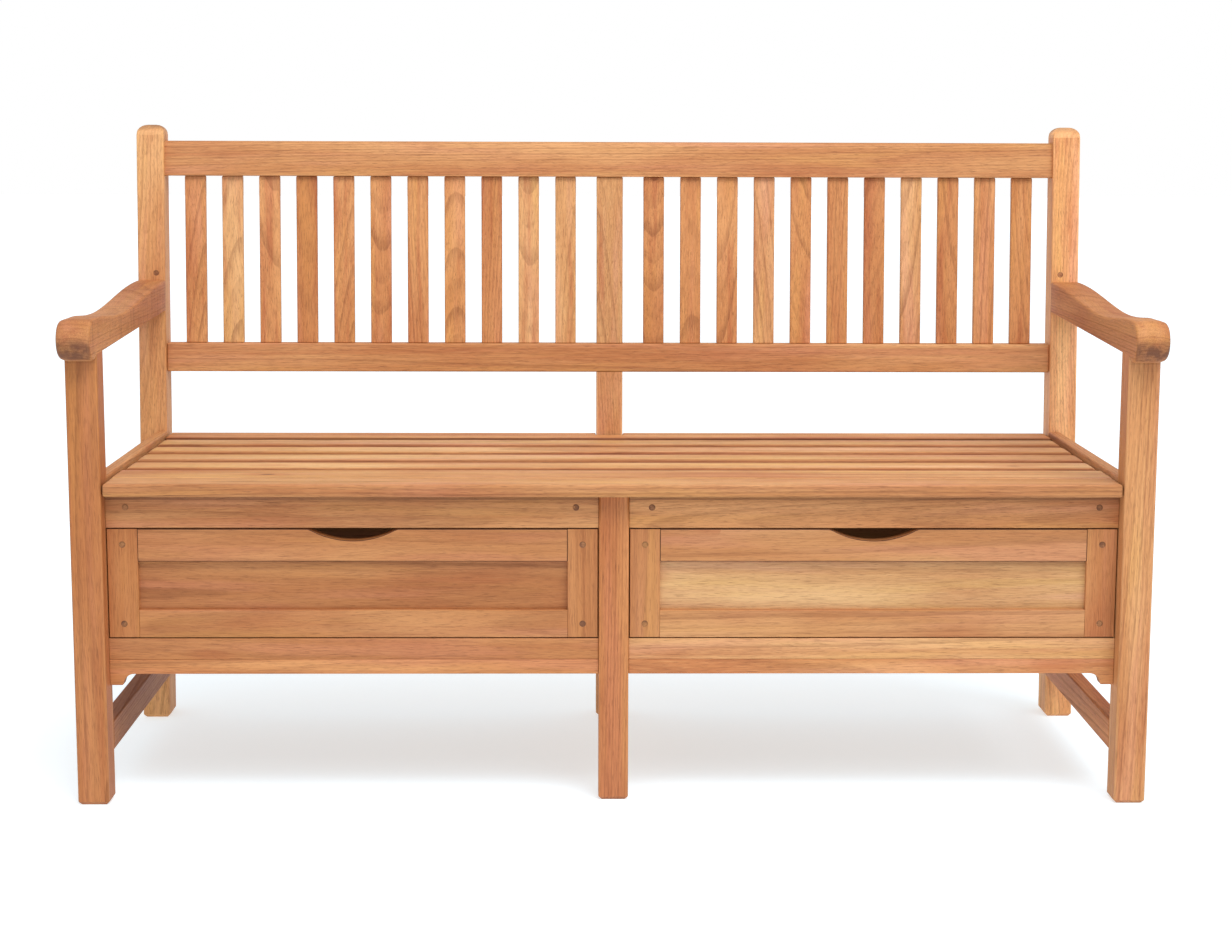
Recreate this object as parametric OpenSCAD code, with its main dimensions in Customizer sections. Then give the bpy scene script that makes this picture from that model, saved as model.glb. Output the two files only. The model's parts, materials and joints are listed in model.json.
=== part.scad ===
// Three-seat garden storage bench in solid teak: a slatted, leaning back, a slatted seat,
// scroll arms and two wide drawers on wooden runners under the seat.
// X runs along the seat, Y from front to back and Z up. The origin is on the ground,
// at the middle of the bench's outer box. Lengths are in millimetres and angles in degrees.

/* [Overall size] */
// Width over the outer faces of the legs
bench_w = 1500; // [1250:10:1800]
// Height of the back legs
back_h = 945; // [860:5:1100]
// Height of the seat slats' top above the ground
seat_h = 455; // [430:1:550]
// Front face of the front legs to front face of the back legs, at the ground
leg_spread = 484; // [450:1:585]
// Lean of the back legs from upright
lean = 4.3; // [1:0.1:7]

/* [Legs] */
// Side of the square front legs
leg_w = 44; // [38:1:53]
// How much narrower the back legs are than the front legs
back_leg_less = 1; // [0:0.5:3]
// Depth of the back legs at the foot
back_foot_d = 56; // [50:1:68]
// Depth of the back legs at the top
back_top_d = 43; // [38:1:52]
// Width and depth of the two centre legs
centre_leg_w = 42; // [40:1:52]
// How far the front centre leg stands behind the front faces of the outer legs
centre_set = 22; // [16:1:30]
// Chamfer round the foot of each leg
foot_chamfer = 5; // [2:0.5:7]
// Rounding at the top of the back legs
dome_r = 16; // [6:1:19]

/* [Seat] */
// Thickness of the seat boards
board_t = 18; // [14:1:22]
// Depth of the front seat board
front_board_d = 63; // [54:1:80]
// Width of the slat that lies tight behind the front board
tight_slat_w = 72; // [56:1:86]
// Width of the slat at the back, which is notched round the centre leg
rear_slat_w = 64; // [50:1:80]
// Reach of the slat at the back behind the front face of the back rails
rear_slat_reach = 22; // [18:1:36]
// Gap in front of each open-spaced slat
slat_gap = 18; // [6:1:20]
// Rounding along the top edges of the seat slats
slat_round = 8; // [2:0.5:9]
// How far the side boards stand above the slats
side_rise = 6; // [2:1:12]
// Thickness of the side boards and the side rails
side_t = 18; // [16:1:24]
// Width of the bearers under the slats
bearer_w = 20; // [16:1:28]
// Depth of the bearers under the slats
bearer_h = 25; // [20:1:34]

/* [Drawer case] */
// How far the front rails and drawer fronts stand behind the front faces of the legs
front_set = 26; // [20:1:27]
// Height of the rail above each drawer
top_rail_h = 47; // [42:1:60]
// Height of the opening for each drawer
opening_h = 157; // [130:1:185]
// Height of the rail below each drawer
bottom_rail_h = 30; // [27:1:40]
// Height of the apron strip under the bottom rail
apron_h = 21; // [14:1:30]
// Drop of the ears at the ends of the apron strips
ear_drop = 16; // [8:1:24]
// Width of those ears at their underside
ear_w = 18; // [12:1:30]
// Thickness of the side and rear panels
panel_t = 12; // [8:1:12]
// Thickness of the rear rails of the case
rear_rail_t = 18; // [16:1:22]
// Width of each drawer runner
runner_w = 22; // [20:1:28]
// Depth of each drawer runner
runner_h = 20; // [14:1:26]
// Length and height of the stop on each runner
stop_size = 20; // [12:1:26]

/* [Drawers] */
// Clearance round each drawer front
drawer_gap = 1.5; // [1:0.25:3]
// Thickness of the drawer fronts' frame
front_t = 20; // [18:1:24]
// Width of the stiles in the drawer fronts
stile_w = 42; // [34:1:52]
// Height of the top rail in the drawer fronts
scoop_rail_h = 46; // [40:1:56]
// Height of the bottom rail in the drawer fronts
lower_rail_h = 39; // [34:1:48]
// How far the panel is set behind the face of the frame
panel_set = 7; // [6:0.5:8]
// Thickness of the panel in the drawer fronts
front_panel_t = 8; // [6:0.5:8]
// Width of the finger scoop
scoop_w = 122; // [90:1:160]
// Depth of the finger scoop
scoop_d = 16.5; // [10:0.5:20]
// Thickness of the drawer sides and back
box_t = 12; // [10:1:14]
// How far the drawer sides and back stay below the top of the drawer front
box_drop = 18; // [8:1:40]
// Thickness of the drawer bottoms
bottom_t = 9; // [6:0.5:12]

/* [Back] */
// Underside of the lower back rail above the ground
lower_back_z = 555; // [545:1:580]
// Height of the lower back rail
lower_back_h = 45; // [36:1:60]
// Height of the top back rail
top_back_h = 55; // [44:1:70]
// How far the back legs stand above the top back rail
leg_over = 25; // [18:1:40]
// Thickness of the two back rails
back_rail_t = 28; // [24:1:32]
// How far the back rails stand behind the front faces of the back legs
rail_set = 8; // [2:1:12]
// Number of narrow slats on each side of the centre slat
slat_n = 11; // [8:1:12]
// Width of the narrow back slats
back_slat_w = 33; // [26:1:40]
// Thickness of the narrow back slats
back_slat_t = 12; // [10:1:16]
// Width of the centre back slat
centre_slat_w = 42; // [34:1:52]
// Gap between a leg and the slat next to it
end_gap = 30; // [20:1:36]
// Gap between the centre slat and its neighbours
centre_gap = 33; // [20:1:40]

/* [Arms] */
// Underside of the arms above the ground, at the front face of the front legs
arm_z = 634; // [620:1:700]
// Rise of the arms' underside toward the back
arm_rise = 2.1; // [0:0.1:4]
// Width of the arms
arm_w = 47; // [40:1:50]
// How far the arms stand out past the legs
arm_over = 3; // [0:0.5:6]
// Radius of the round nose
nose_r = 29; // [24:0.5:34]
// How far the middle of the nose is in front of the front legs
nose_out = 12; // [10:0.5:16]
// Height of the low point of the arms' top above their underside at the front
dip_h = 41.5; // [36:0.5:48]
// Height of the arms' top at the back legs, above their underside at the front
arm_back_h = 66; // [58:1:76]

/* [Stretchers] */
// Underside of the low stretchers above the ground
stretcher_z = 68; // [50:1:110]
// Height of the low stretchers
stretcher_h = 42; // [30:1:54]
// Thickness of the low stretchers
stretcher_t = 24; // [18:1:28]

/* [Joinery] */
// Length of the tenons
tenon_l = 18; // [12:1:18]
// Thickness of the tenons
tenon_t = 8; // [6:0.5:8]
// Shoulder above and below each tenon
shoulder = 5; // [3:0.5:6]
// Free depth at the bottom of each mortise
mortise_gap = 1; // [0.5:0.25:2]
// Diameter of the pegs that lock the joints
peg_d = 9; // [6:0.5:11]
// Clearance of the pegs on the radius
peg_fit = 0.1; // [0.05:0.05:0.2]
// Depth of the grooves that hold the panels
groove = 6; // [4:0.5:6]
// Gap at each end of the seat boards
seat_end_gap = 2; // [1:0.5:4]

/* [Hidden] */
teak = [0.78, 0.54, 0.34];
teak_dark = [0.70, 0.46, 0.28];
teak_pale = [0.84, 0.62, 0.42];
teak_peg = [0.60, 0.38, 0.22];

// Widths: inner faces of the front and back legs, half widths of the centre pieces
leg_in = bench_w / 2 - leg_w;
back_leg_w = leg_w - back_leg_less;
back_in = bench_w / 2 - back_leg_w;
centre_in = centre_leg_w / 2;
// The sides of the case stand between the legs, with their inner faces at side_in
side_in = max(leg_in, back_in - 1);
side_out = side_in + side_t;
arm_out = bench_w / 2 + arm_over;
arm_in = arm_out - arm_w;

// Heights of the case under the seat
slat_under = seat_h - board_t;
side_top = seat_h + side_rise;
opening_top = slat_under - top_rail_h;
opening_z = opening_top - opening_h;
bottom_rail_z = opening_z - bottom_rail_h;
apron_z = bottom_rail_z - apron_h;

// Depths: rear faces of the front rails and of the front centre leg
rail_back = leg_w;
centre_back = centre_set + centre_leg_w;
top_back_z = back_h - leg_over - top_back_h;

// Leaning front face of the back legs, as a distance from the front legs' front face
function lean_y(z) = leg_spread + z * tan(lean);

// The bench's outer box runs from the nose of the arms to the top of the back legs
box_front = -nose_out - nose_r;
box_back = lean_y(back_h) + back_top_d;
mid_y = (box_front + box_back) / 2;

// Underside of the arm over a point that is y behind the front legs' front face
function arm_under(y) = arm_z + y * tan(arm_rise);
arm_end_z = arm_z + arm_back_h;
arm_end_y = lean_y(arm_end_z);
arm_low_y = lean_y(arm_z) / (1 - tan(lean) * tan(arm_rise));

// Drawer sizes
front_x0 = centre_in + drawer_gap;
front_x1 = leg_in - drawer_gap;
front_z0 = opening_z + drawer_gap;
front_z1 = opening_top - drawer_gap;
front_back = front_set + front_t;
frame_x0 = front_x0 + stile_w;
frame_x1 = front_x1 - stile_w;
field_z0 = front_z0 + lower_rail_h;
field_z1 = front_z1 - scoop_rail_h;
stop_y = lean_y(opening_z) + rail_set - stop_size;
stop_gap = 0.5;
box_back_y = stop_y - stop_gap;
side_inset = 4.5;
bottom_z = front_z0 + 9;

// Pitch of the narrow back slats
slat_first = centre_slat_w / 2 + centre_gap + back_slat_w / 2;
slat_last = back_in - end_gap - back_slat_w / 2;
slat_pitch = (slat_last - slat_first) / (slat_n - 1);
// Open-spaced seat slats fill the depth between the tight slat and the one at the back
tight_gap = 1;
open_n = 4;
open_y = front_board_d + tight_gap + tight_slat_w;
rear_slat_y1 = lean_y(seat_h) + rail_set + rear_slat_reach;
rear_slat_y0 = rear_slat_y1 - rear_slat_w;
slat_w = (rear_slat_y0 - open_y - (open_n + 1) * slat_gap) / open_n;
slat_face = rail_set + (back_rail_t - back_slat_t) / 2;
rear_panel_set = rail_set + (rear_rail_t - panel_t) / 2;

$fn = 48;

// ---- Helpers: outlines ----

function unit(v) = v / norm(v);

// Points of the arc of radius r that rounds corner p between its neighbours a and b
function fillet(p, a, b, r, steps = 6) = r == 0 ? [p] :
    let (u = unit(a - p),
         v = unit(b - p),
         half = acos(u * v) / 2,
         c = p + unit(u + v) * (r / sin(half)),
         s = p + u * (r / tan(half)) - c,
         e = p + v * (r / tan(half)) - c,
         a0 = atan2(s[1], s[0]),
         raw = atan2(e[1], e[0]) - a0,
         turn = raw > 180 ? raw - 360 : raw < -180 ? raw + 360 : raw)
    [for (i = [0:steps]) c + r * [cos(a0 + turn * i / steps), sin(a0 + turn * i / steps)]];

// Outline through pts, with each corner rounded by its own radius
function rounded(pts, radii) =
    let (n = len(pts))
    [for (i = [0:n - 1]) each fillet(pts[i], pts[(i + n - 1) % n], pts[(i + 1) % n], radii[i])];

// Points of a cubic curve from a to d that leaves toward b and arrives from c
function curve(a, b, c, d, steps) =
    [for (i = [1:steps]) let (t = i / steps, k = 1 - t)
        k * k * k * a + 3 * k * k * t * b + 3 * k * t * t * c + t * t * t * d];

// ---- Helpers: solids ----

// Moves the bench from the front legs' front face to the middle of its outer box
module placed() {
    translate([0, -mid_y, 0]) children();
}

// Its children at s = 1, on the right, or their mirror image at s = -1, on the left
module hand(s) {
    if (s > 0) children();
    else mirror([1, 0, 0]) children();
}

module box(x0, x1, y0, y1, z0, z1) {
    translate([x0, y0, z0]) cube([x1 - x0, y1 - y0, z1 - z0]);
}

// An outline in Y and Z, drawn out from x0 to x1
module along_x(x0, x1) {
    translate([x0, 0, 0]) rotate([90, 0, 90]) linear_extrude(x1 - x0) children();
}

// An outline in X and Z, drawn out from y0 to y1
module along_y(y0, y1) {
    translate([0, y1, 0]) rotate([90, 0, 0]) linear_extrude(y1 - y0) children();
}

// A board that leans with the back, d0 to d1 behind the back legs' front face
module lean_box(x0, x1, d0, d1, z0, z1) {
    along_x(x0, x1)
        polygon([[lean_y(z0) + d0, z0], [lean_y(z0) + d1, z0],
                 [lean_y(z1) + d1, z1], [lean_y(z1) + d0, z1]]);
}

// A level member from y0 back to a line d behind the back legs' front face
module side_beam(x0, x1, z0, z1, y0 = leg_w, d = 0) {
    along_x(x0, x1)
        polygon([[y0, z0], [lean_y(z0) + d, z0], [lean_y(z1) + d, z1], [y0, z1]]);
}

// Peg from the face y0 backward, or the hole for it
module peg(x, y0, z, length, slack = 0) {
    translate([x, y0, z]) rotate([-90, 0, 0]) cylinder(h = length, r = peg_d / 2 - peg_fit + slack);
}

// ---- Joints: each is drawn once, and cut from its partner with slack = mortise_gap ----

// Front and back tenons of a side member whose tenons run from z0 to z1
module side_tenons(x0, x1, z0, z1, slack = 0) {
    mid = (x0 + x1) / 2;
    box(mid - tenon_t / 2, mid + tenon_t / 2, leg_w - tenon_l - slack, leg_w, z0, z1);
    lean_box(mid - tenon_t / 2, mid + tenon_t / 2, 0, tenon_l + slack, z0, z1);
}

module side_board_tenons(slack = 0) {
    side_tenons(side_in, side_out, slat_under + 3, side_top - shoulder, slack);
}

module side_rail_tenons(slack = 0) {
    side_tenons(side_in, side_out, bottom_rail_z + 3, bottom_rail_z + bottom_rail_h / 2 - 2, slack);
}

module stretcher_tenons(slack = 0) {
    side_tenons(side_in, side_in + stretcher_t, stretcher_z + shoulder,
        stretcher_z + stretcher_h - shoulder, slack);
}

// Tenons at both ends of a front rail, from z0 to z1
module front_tenons(z0, z1, slack = 0) {
    y = (front_set + rail_back) / 2;
    box(centre_in - tenon_l - slack, leg_in + tenon_l + slack,
        y - tenon_t / 2, y + tenon_t / 2, z0, z1);
}

module front_top_tenons(slack = 0) {
    front_tenons(opening_top + shoulder, slat_under - shoulder, slack);
}

module front_bottom_tenons(slack = 0) {
    front_tenons(bottom_rail_z + bottom_rail_h / 2 + 1, opening_z - 3, slack);
}

// Tenons at both ends of a rail between the back legs
module rear_tenons(d0, d1, z0, z1, slack = 0) {
    mid = (d0 + d1) / 2;
    reach = back_in + tenon_l + slack;
    lean_box(-reach, reach, mid - tenon_t / 2, mid + tenon_t / 2, z0, z1);
}

module back_rail_tenons(z, h, slack = 0) {
    rear_tenons(rail_set, rail_set + back_rail_t, z + shoulder, z + h - shoulder, slack);
}

module rear_top_tenons(slack = 0) {
    rear_tenons(rail_set, rail_set + rear_rail_t, opening_top + shoulder,
        slat_under - shoulder, slack);
}

module rear_bottom_tenons(slack = 0) {
    rear_tenons(rail_set, rail_set + rear_rail_t, bottom_rail_z + bottom_rail_h / 2 + 1,
        opening_z - 3, slack);
}

// Tenons of the centre stretcher in the two centre legs
module centre_stretcher_tenons(slack = 0) {
    z0 = stretcher_z + shoulder;
    z1 = stretcher_z + stretcher_h - shoulder;
    box(-tenon_t / 2, tenon_t / 2, centre_back - tenon_l - slack, centre_back, z0, z1);
    lean_box(-tenon_t / 2, tenon_t / 2, rail_set, rail_set + tenon_l + slack, z0, z1);
}

// Tenon of the front leg in the arm
module leg_top_tenon(slack = 0) {
    x = bench_w / 2 - leg_w / 2;
    box(x - 9, x + 9, 13, 31, arm_z - 10, arm_z + 22 + slack);
}

// Tenon of the arm in the back leg
module arm_tenon(slack = 0) {
    x = (arm_in + bench_w / 2) / 2;
    z0 = arm_under(arm_low_y) + shoulder;
    lean_box(x - tenon_t, x + tenon_t, -1, tenon_l + slack, z0, arm_end_z - 2 * shoulder);
}

// Tenon of the rear centre leg in the lower back rail
module centre_leg_tenon(slack = 0) {
    mid = rail_set + back_rail_t / 2;
    lean_box(-centre_in / 2, centre_in / 2, mid - tenon_t / 2, mid + tenon_t / 2,
        lower_back_z, lower_back_z + tenon_l + slack);
}

// Tongues of the narrow back slats on the right, and of the centre slat
module back_slat(i, into = groove) {
    x = slat_first + i * slat_pitch;
    lean_box(x - back_slat_w / 2, x + back_slat_w / 2, slat_face, slat_face + back_slat_t,
        lower_back_z + lower_back_h - into, top_back_z + into);
}

module centre_slat(into = groove) {
    lean_box(-centre_slat_w / 2, centre_slat_w / 2, slat_face - 3, slat_face + back_slat_t,
        lower_back_z + lower_back_h - into, top_back_z + into);
}

module all_back_slats() {
    for (s = [-1, 1], i = [0:slat_n - 1]) hand(s) back_slat(i);
    centre_slat();
}

// ---- Legs ----

// A square-footed outline in X and Z, chamfered at the foot
module leg_front_view(x0, x1, z1, r = 0) {
    c = foot_chamfer;
    polygon(rounded([[x0 + c, 0], [x1 - c, 0], [x1, c], [x1, z1], [x0, z1], [x0, c]],
        [0, 0, 0, r, r, 0]));
}

module front_leg() {
    c = foot_chamfer;
    difference() {
        union() {
            intersection() {
                along_x(leg_in, bench_w / 2)
                    polygon([[c, 0], [leg_w - c, 0], [leg_w, c], [leg_w, arm_under(leg_w)],
                             [0, arm_z], [0, c]]);
                along_y(-1, leg_w + 1) leg_front_view(leg_in, bench_w / 2, back_h);
            }
            leg_top_tenon();
        }
        side_board_tenons(mortise_gap);
        side_rail_tenons(mortise_gap);
        stretcher_tenons(mortise_gap);
        front_top_tenons(mortise_gap);
        front_bottom_tenons(mortise_gap);
    }
}

module front_leg_left() {
    color(teak) placed() hand(-1) front_leg();
}

module front_leg_right() {
    color(teak) placed() hand(1) front_leg();
}

module front_leg_centre() {
    c = foot_chamfer;
    color(teak) placed() difference() {
        intersection() {
            along_x(-centre_in, centre_in)
                polygon([[centre_set + c, 0], [centre_back - c, 0], [centre_back, c],
                         [centre_back, slat_under], [centre_set, slat_under], [centre_set, c]]);
            along_y(0, leg_spread) leg_front_view(-centre_in, centre_in, back_h);
        }
        for (s = [-1, 1]) hand(s) {
            front_top_tenons(mortise_gap);
            front_bottom_tenons(mortise_gap);
        }
        centre_stretcher_tenons(mortise_gap);
    }
}

module back_leg() {
    c = foot_chamfer;
    difference() {
        intersection() {
            along_x(back_in, bench_w / 2)
                polygon(rounded([[leg_spread + c, 0], [leg_spread + back_foot_d - c, 0],
                                 [leg_spread + back_foot_d, c],
                                 [lean_y(back_h) + back_top_d, back_h], [lean_y(back_h), back_h],
                                 [lean_y(c), c]], [0, 0, 0, dome_r, dome_r, 0]));
            along_y(0, 2 * leg_spread) leg_front_view(back_in, bench_w / 2, back_h, dome_r);
        }
        side_board_tenons(mortise_gap);
        side_rail_tenons(mortise_gap);
        stretcher_tenons(mortise_gap);
        arm_tenon(mortise_gap);
        back_rail_tenons(top_back_z, top_back_h, mortise_gap);
        back_rail_tenons(lower_back_z, lower_back_h, mortise_gap);
        rear_top_tenons(mortise_gap);
        rear_bottom_tenons(mortise_gap);
        arm_peg(slack = peg_fit);
    }
}

module back_leg_left() {
    color(teak) placed() hand(-1) back_leg();
}

module back_leg_right() {
    color(teak) placed() hand(1) back_leg();
}

module back_leg_centre() {
    c = foot_chamfer;
    d1 = rail_set + centre_leg_w;
    color(teak) placed() difference() {
        union() {
            intersection() {
                along_x(-centre_in, centre_in)
                    polygon([[leg_spread + rail_set + c, 0], [leg_spread + d1 - c, 0],
                             [lean_y(c) + d1, c], [lean_y(lower_back_z) + d1, lower_back_z],
                             [lean_y(lower_back_z) + rail_set, lower_back_z],
                             [lean_y(c) + rail_set, c]]);
                along_y(0, 2 * leg_spread) leg_front_view(-centre_in, centre_in, back_h);
            }
            centre_leg_tenon();
        }
        rear_rail(opening_top, slat_under);
        rear_rail(bottom_rail_z, opening_z);
        centre_stretcher_tenons(mortise_gap);
    }
}

// ---- Back ----

module back_top_rail() {
    r = 9;
    z1 = top_back_z + top_back_h;
    color(teak) placed() difference() {
        union() {
            along_x(-back_in, back_in)
                polygon(rounded([[lean_y(top_back_z) + rail_set, top_back_z],
                                 [lean_y(top_back_z) + rail_set + back_rail_t, top_back_z],
                                 [lean_y(z1) + rail_set + back_rail_t, z1],
                                 [lean_y(z1) + rail_set, z1]], [0, 0, r, r]));
            back_rail_tenons(top_back_z, top_back_h);
        }
        all_back_slats();
    }
}

module back_lower_rail() {
    color(teak) placed() difference() {
        union() {
            lean_box(-back_in, back_in, rail_set, rail_set + back_rail_t,
                lower_back_z, lower_back_z + lower_back_h);
            back_rail_tenons(lower_back_z, lower_back_h);
        }
        all_back_slats();
        centre_leg_tenon(mortise_gap);
    }
}

module back_slats_left() {
    color(teak_pale) placed() hand(-1) for (i = [0:slat_n - 1]) back_slat(i);
}

module back_slats_right() {
    color(teak_pale) placed() for (i = [0:slat_n - 1]) back_slat(i);
}

module back_centre_slat() {
    color(teak_pale) placed() centre_slat();
}

// ---- Arms ----

// Side view of an arm: round nose, dipped top and straight underside
function arm_outline() =
    let (centre = [-nose_out, arm_z + nose_r - 8],
         crest = centre + [0, nose_r],
         dip = [leg_spread * 0.38, arm_z + dip_h],
         end = [arm_end_y, arm_end_z],
         a0 = -acos(nose_out / nose_r))
    concat(
        curve(crest, crest + [85, 0], dip - [75, 0], dip, 10),
        curve(dip, dip + [105, 0], end - [135, 0], end, 14),
        [[arm_low_y, arm_under(arm_low_y)], [0, arm_z]],
        [for (i = [0:18]) let (a = a0 - (270 + a0) * i / 18) centre + nose_r * [cos(a), sin(a)]]);

module arm() {
    difference() {
        union() {
            along_x(arm_in, arm_out) polygon(arm_outline());
            arm_tenon();
        }
        leg_top_tenon(mortise_gap);
    }
}

module arm_left() {
    color(teak) placed() hand(-1) arm();
}

module arm_right() {
    color(teak) placed() hand(1) arm();
}

// ---- Seat ----

module seat_front_board() {
    reach = leg_in - seat_end_gap;
    color(teak) placed() along_x(-reach, reach)
        polygon(rounded([[0, slat_under], [front_board_d, slat_under],
                         [front_board_d, seat_h], [0, seat_h]], [3, 0, 1, 5]));
}

module seat_slat(y0, w) {
    reach = side_in - seat_end_gap;
    color(teak_pale) placed() along_x(-reach, reach)
        polygon(rounded([[y0, slat_under], [y0 + w, slat_under], [y0 + w, seat_h], [y0, seat_h]],
            [0, 0, slat_round, slat_round]));
}

// Front edge of the open-spaced seat slat number i, counted from the front
function open_slat_y(i) = open_y + slat_gap + i * (slat_w + slat_gap);

module seat_slat_1() {
    seat_slat(front_board_d + tight_gap, tight_slat_w);
}

module seat_slat_2() {
    seat_slat(open_slat_y(0), slat_w);
}

module seat_slat_3() {
    seat_slat(open_slat_y(1), slat_w);
}

module seat_slat_4() {
    seat_slat(open_slat_y(2), slat_w);
}

module seat_slat_5() {
    seat_slat(open_slat_y(3), slat_w);
}

// The last slat is notched round the three back legs
module seat_rear_slat() {
    reach = min(side_in, back_in) - seat_end_gap;
    clear = 0.5;
    color(teak_pale) placed() difference() {
        box(-reach, reach, rear_slat_y0, rear_slat_y1, slat_under, seat_h);
        lean_box(-centre_in - clear, centre_in + clear, rail_set - clear, leg_spread,
            slat_under - 1, seat_h + 1);
    }
}

module seat_side_board() {
    difference() {
        union() {
            side_beam(side_in, side_out, opening_top, side_top);
            side_board_tenons();
        }
        side_panel();
    }
}

module seat_side_board_left() {
    color(teak) placed() hand(-1) seat_side_board();
}

module seat_side_board_right() {
    color(teak) placed() hand(1) seat_side_board();
}

module seat_bearers() {
    z0 = slat_under - bearer_h;
    color(teak_dark) placed() {
        for (s = [-1, 1]) hand(s)
            side_beam(leg_in - bearer_w, side_in, z0, slat_under, rail_back, rail_set);
        side_beam(-bearer_w / 2, bearer_w / 2, z0, slat_under, centre_back, rail_set);
    }
}

// ---- Drawer case ----

module front_top_rail() {
    difference() {
        union() {
            box(centre_in, leg_in, front_set, rail_back, opening_top, slat_under);
            front_top_tenons();
        }
        rail_pegs(slack = peg_fit);
    }
}

module front_top_rail_left() {
    color(teak) placed() hand(-1) front_top_rail();
}

module front_top_rail_right() {
    color(teak) placed() hand(1) front_top_rail();
}

module front_bottom_rail() {
    box(centre_in, leg_in, front_set, rail_back, bottom_rail_z, opening_z);
    front_bottom_tenons();
}

module front_bottom_rail_left() {
    color(teak) placed() hand(-1) front_bottom_rail();
}

module front_bottom_rail_right() {
    color(teak) placed() hand(1) front_bottom_rail();
}

// Ear that hangs under an apron strip at u, on the way of side s: its cove and its toe
function ear(u, s) = [[u + s * ear_w * 1.15, apron_z], [u + s * ear_w, apron_z - ear_drop]];
cove_r = 0.9 * ear_drop;
toe_r = ear_drop / 8;

module front_apron() {
    color(teak) placed() along_y(front_set, rail_back)
        polygon(rounded(concat([[leg_in, bottom_rail_z], [centre_in, bottom_rail_z],
                                [centre_in, apron_z]], ear(leg_in, -1),
                               [[leg_in, apron_z - ear_drop]]),
            [0, 0, 0, cove_r, toe_r, 0]));
}

module front_apron_left() {
    hand(-1) front_apron();
}

module front_apron_right() {
    hand(1) front_apron();
}

module side_rail() {
    difference() {
        union() {
            side_beam(side_in, side_out, bottom_rail_z, opening_z);
            side_rail_tenons();
        }
        side_panel();
    }
}

module side_bottom_rail_left() {
    color(teak) placed() hand(-1) side_rail();
}

module side_bottom_rail_right() {
    color(teak) placed() hand(1) side_rail();
}

module side_apron() {
    z1 = bottom_rail_z;
    low = apron_z - ear_drop;
    along_x(side_in, side_out)
        polygon(rounded(concat([[leg_w, z1], [lean_y(z1), z1], [lean_y(low), low]],
                               [for (i = [1, 0]) ear(lean_y(low), -1)[i]],
                               ear(leg_w, 1), [[leg_w, low]]),
            [0, 0, 0, toe_r, cove_r, cove_r, toe_r, 0]));
}

module side_apron_left() {
    color(teak) placed() hand(-1) side_apron();
}

module side_apron_right() {
    color(teak) placed() hand(1) side_apron();
}

// Panel in the grooves of the side board and the side rail
module side_panel() {
    x = (side_in + side_out - panel_t) / 2;
    side_beam(x, x + panel_t, opening_z - groove, opening_top + groove);
}

module side_panel_left() {
    color(teak_pale) placed() hand(-1) side_panel();
}

module side_panel_right() {
    color(teak_pale) placed() hand(1) side_panel();
}

// A rail between the back legs at the back of the case
module rear_rail(z0, z1) {
    lean_box(-back_in, back_in, rail_set, rail_set + rear_rail_t, z0, z1);
}

// Panels in the grooves of the two rear rails
module rear_panel_pair() {
    for (s = [-1, 1]) hand(s)
        lean_box(centre_in, back_in, rear_panel_set, rear_panel_set + panel_t,
            opening_z - groove, opening_top + groove);
}

module rear_top_rail() {
    color(teak) placed() difference() {
        union() {
            rear_rail(opening_top, slat_under);
            rear_top_tenons();
        }
        rear_panel_pair();
    }
}

module rear_bottom_rail() {
    color(teak) placed() difference() {
        union() {
            rear_rail(bottom_rail_z, opening_z);
            rear_bottom_tenons();
        }
        rear_panel_pair();
    }
}

module rear_panels() {
    color(teak_pale) placed() rear_panel_pair();
}

module side_stretcher() {
    side_beam(side_in, side_in + stretcher_t, stretcher_z, stretcher_z + stretcher_h);
    stretcher_tenons();
}

module side_stretcher_left() {
    color(teak) placed() hand(-1) side_stretcher();
}

module side_stretcher_right() {
    color(teak) placed() hand(1) side_stretcher();
}

module centre_stretcher() {
    color(teak) placed() {
        side_beam(-stretcher_t / 2, stretcher_t / 2, stretcher_z, stretcher_z + stretcher_h,
            centre_back, rail_set);
        centre_stretcher_tenons();
    }
}

module drawer_divider() {
    color(teak_dark) placed()
        side_beam(-centre_in, centre_in, bottom_rail_z, opening_z, centre_back, rail_set);
}

// A runner from x0 to x1 under one drawer side, with its stop at the back
module runner(x0, x1) {
    side_beam(x0, x1, opening_z - runner_h, opening_z, rail_back, rail_set);
    side_beam(x0, x1, opening_z - 1, opening_z + stop_size, stop_y, rail_set);
}

module drawer_runners() {
    color(teak_dark) placed() for (s = [-1, 1]) hand(s) {
        runner(leg_in - runner_w, side_in);
        runner(centre_in, centre_in + runner_w);
    }
}

// ---- Pegs of the frame ----

// Pegs near the ends of a front top rail
module rail_pegs(slack = 0) {
    for (x = [centre_in + 32, leg_in - 28])
        peg(x, front_set, slat_under - 18, rail_back - front_set - 4, slack);
}

// Peg above the arm's end, in the front face of a back leg
module arm_peg(slack = 0) {
    z = arm_end_z + 12;
    peg(leg_in + peg_d + 6, lean_y(z), z, tenon_l, slack);
}

module frame_pegs() {
    color(teak_peg) placed() for (s = [-1, 1]) hand(s) {
        rail_pegs();
        arm_peg();
    }
}

// ---- Drawers: drawn for the right one ----

// Panel of the drawer front, in the grooves of its frame
module drawer_panel() {
    y0 = front_set + panel_set;
    box(frame_x0 - groove, frame_x1 + groove, y0, y0 + front_panel_t,
        field_z0 - groove, field_z1 + groove);
}

// Tenons at both ends of a rail of the drawer front, from z0 to z1
module drawer_tenons(z0, z1, slack = 0) {
    reach = stile_w * 0.7 + slack;
    root = 1;
    y = front_set + panel_set;
    for (x = [frame_x0 - reach, frame_x1 - root])
        box(x, x + reach + root, y, y + tenon_t, z0, z1);
}

module drawer_top_tenons(slack = 0) {
    drawer_tenons(field_z1 + groove + 2, front_z1 - shoulder, slack);
}

module drawer_low_tenons(slack = 0) {
    drawer_tenons(front_z0 + shoulder, field_z0 - groove - 2, slack);
}

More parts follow.
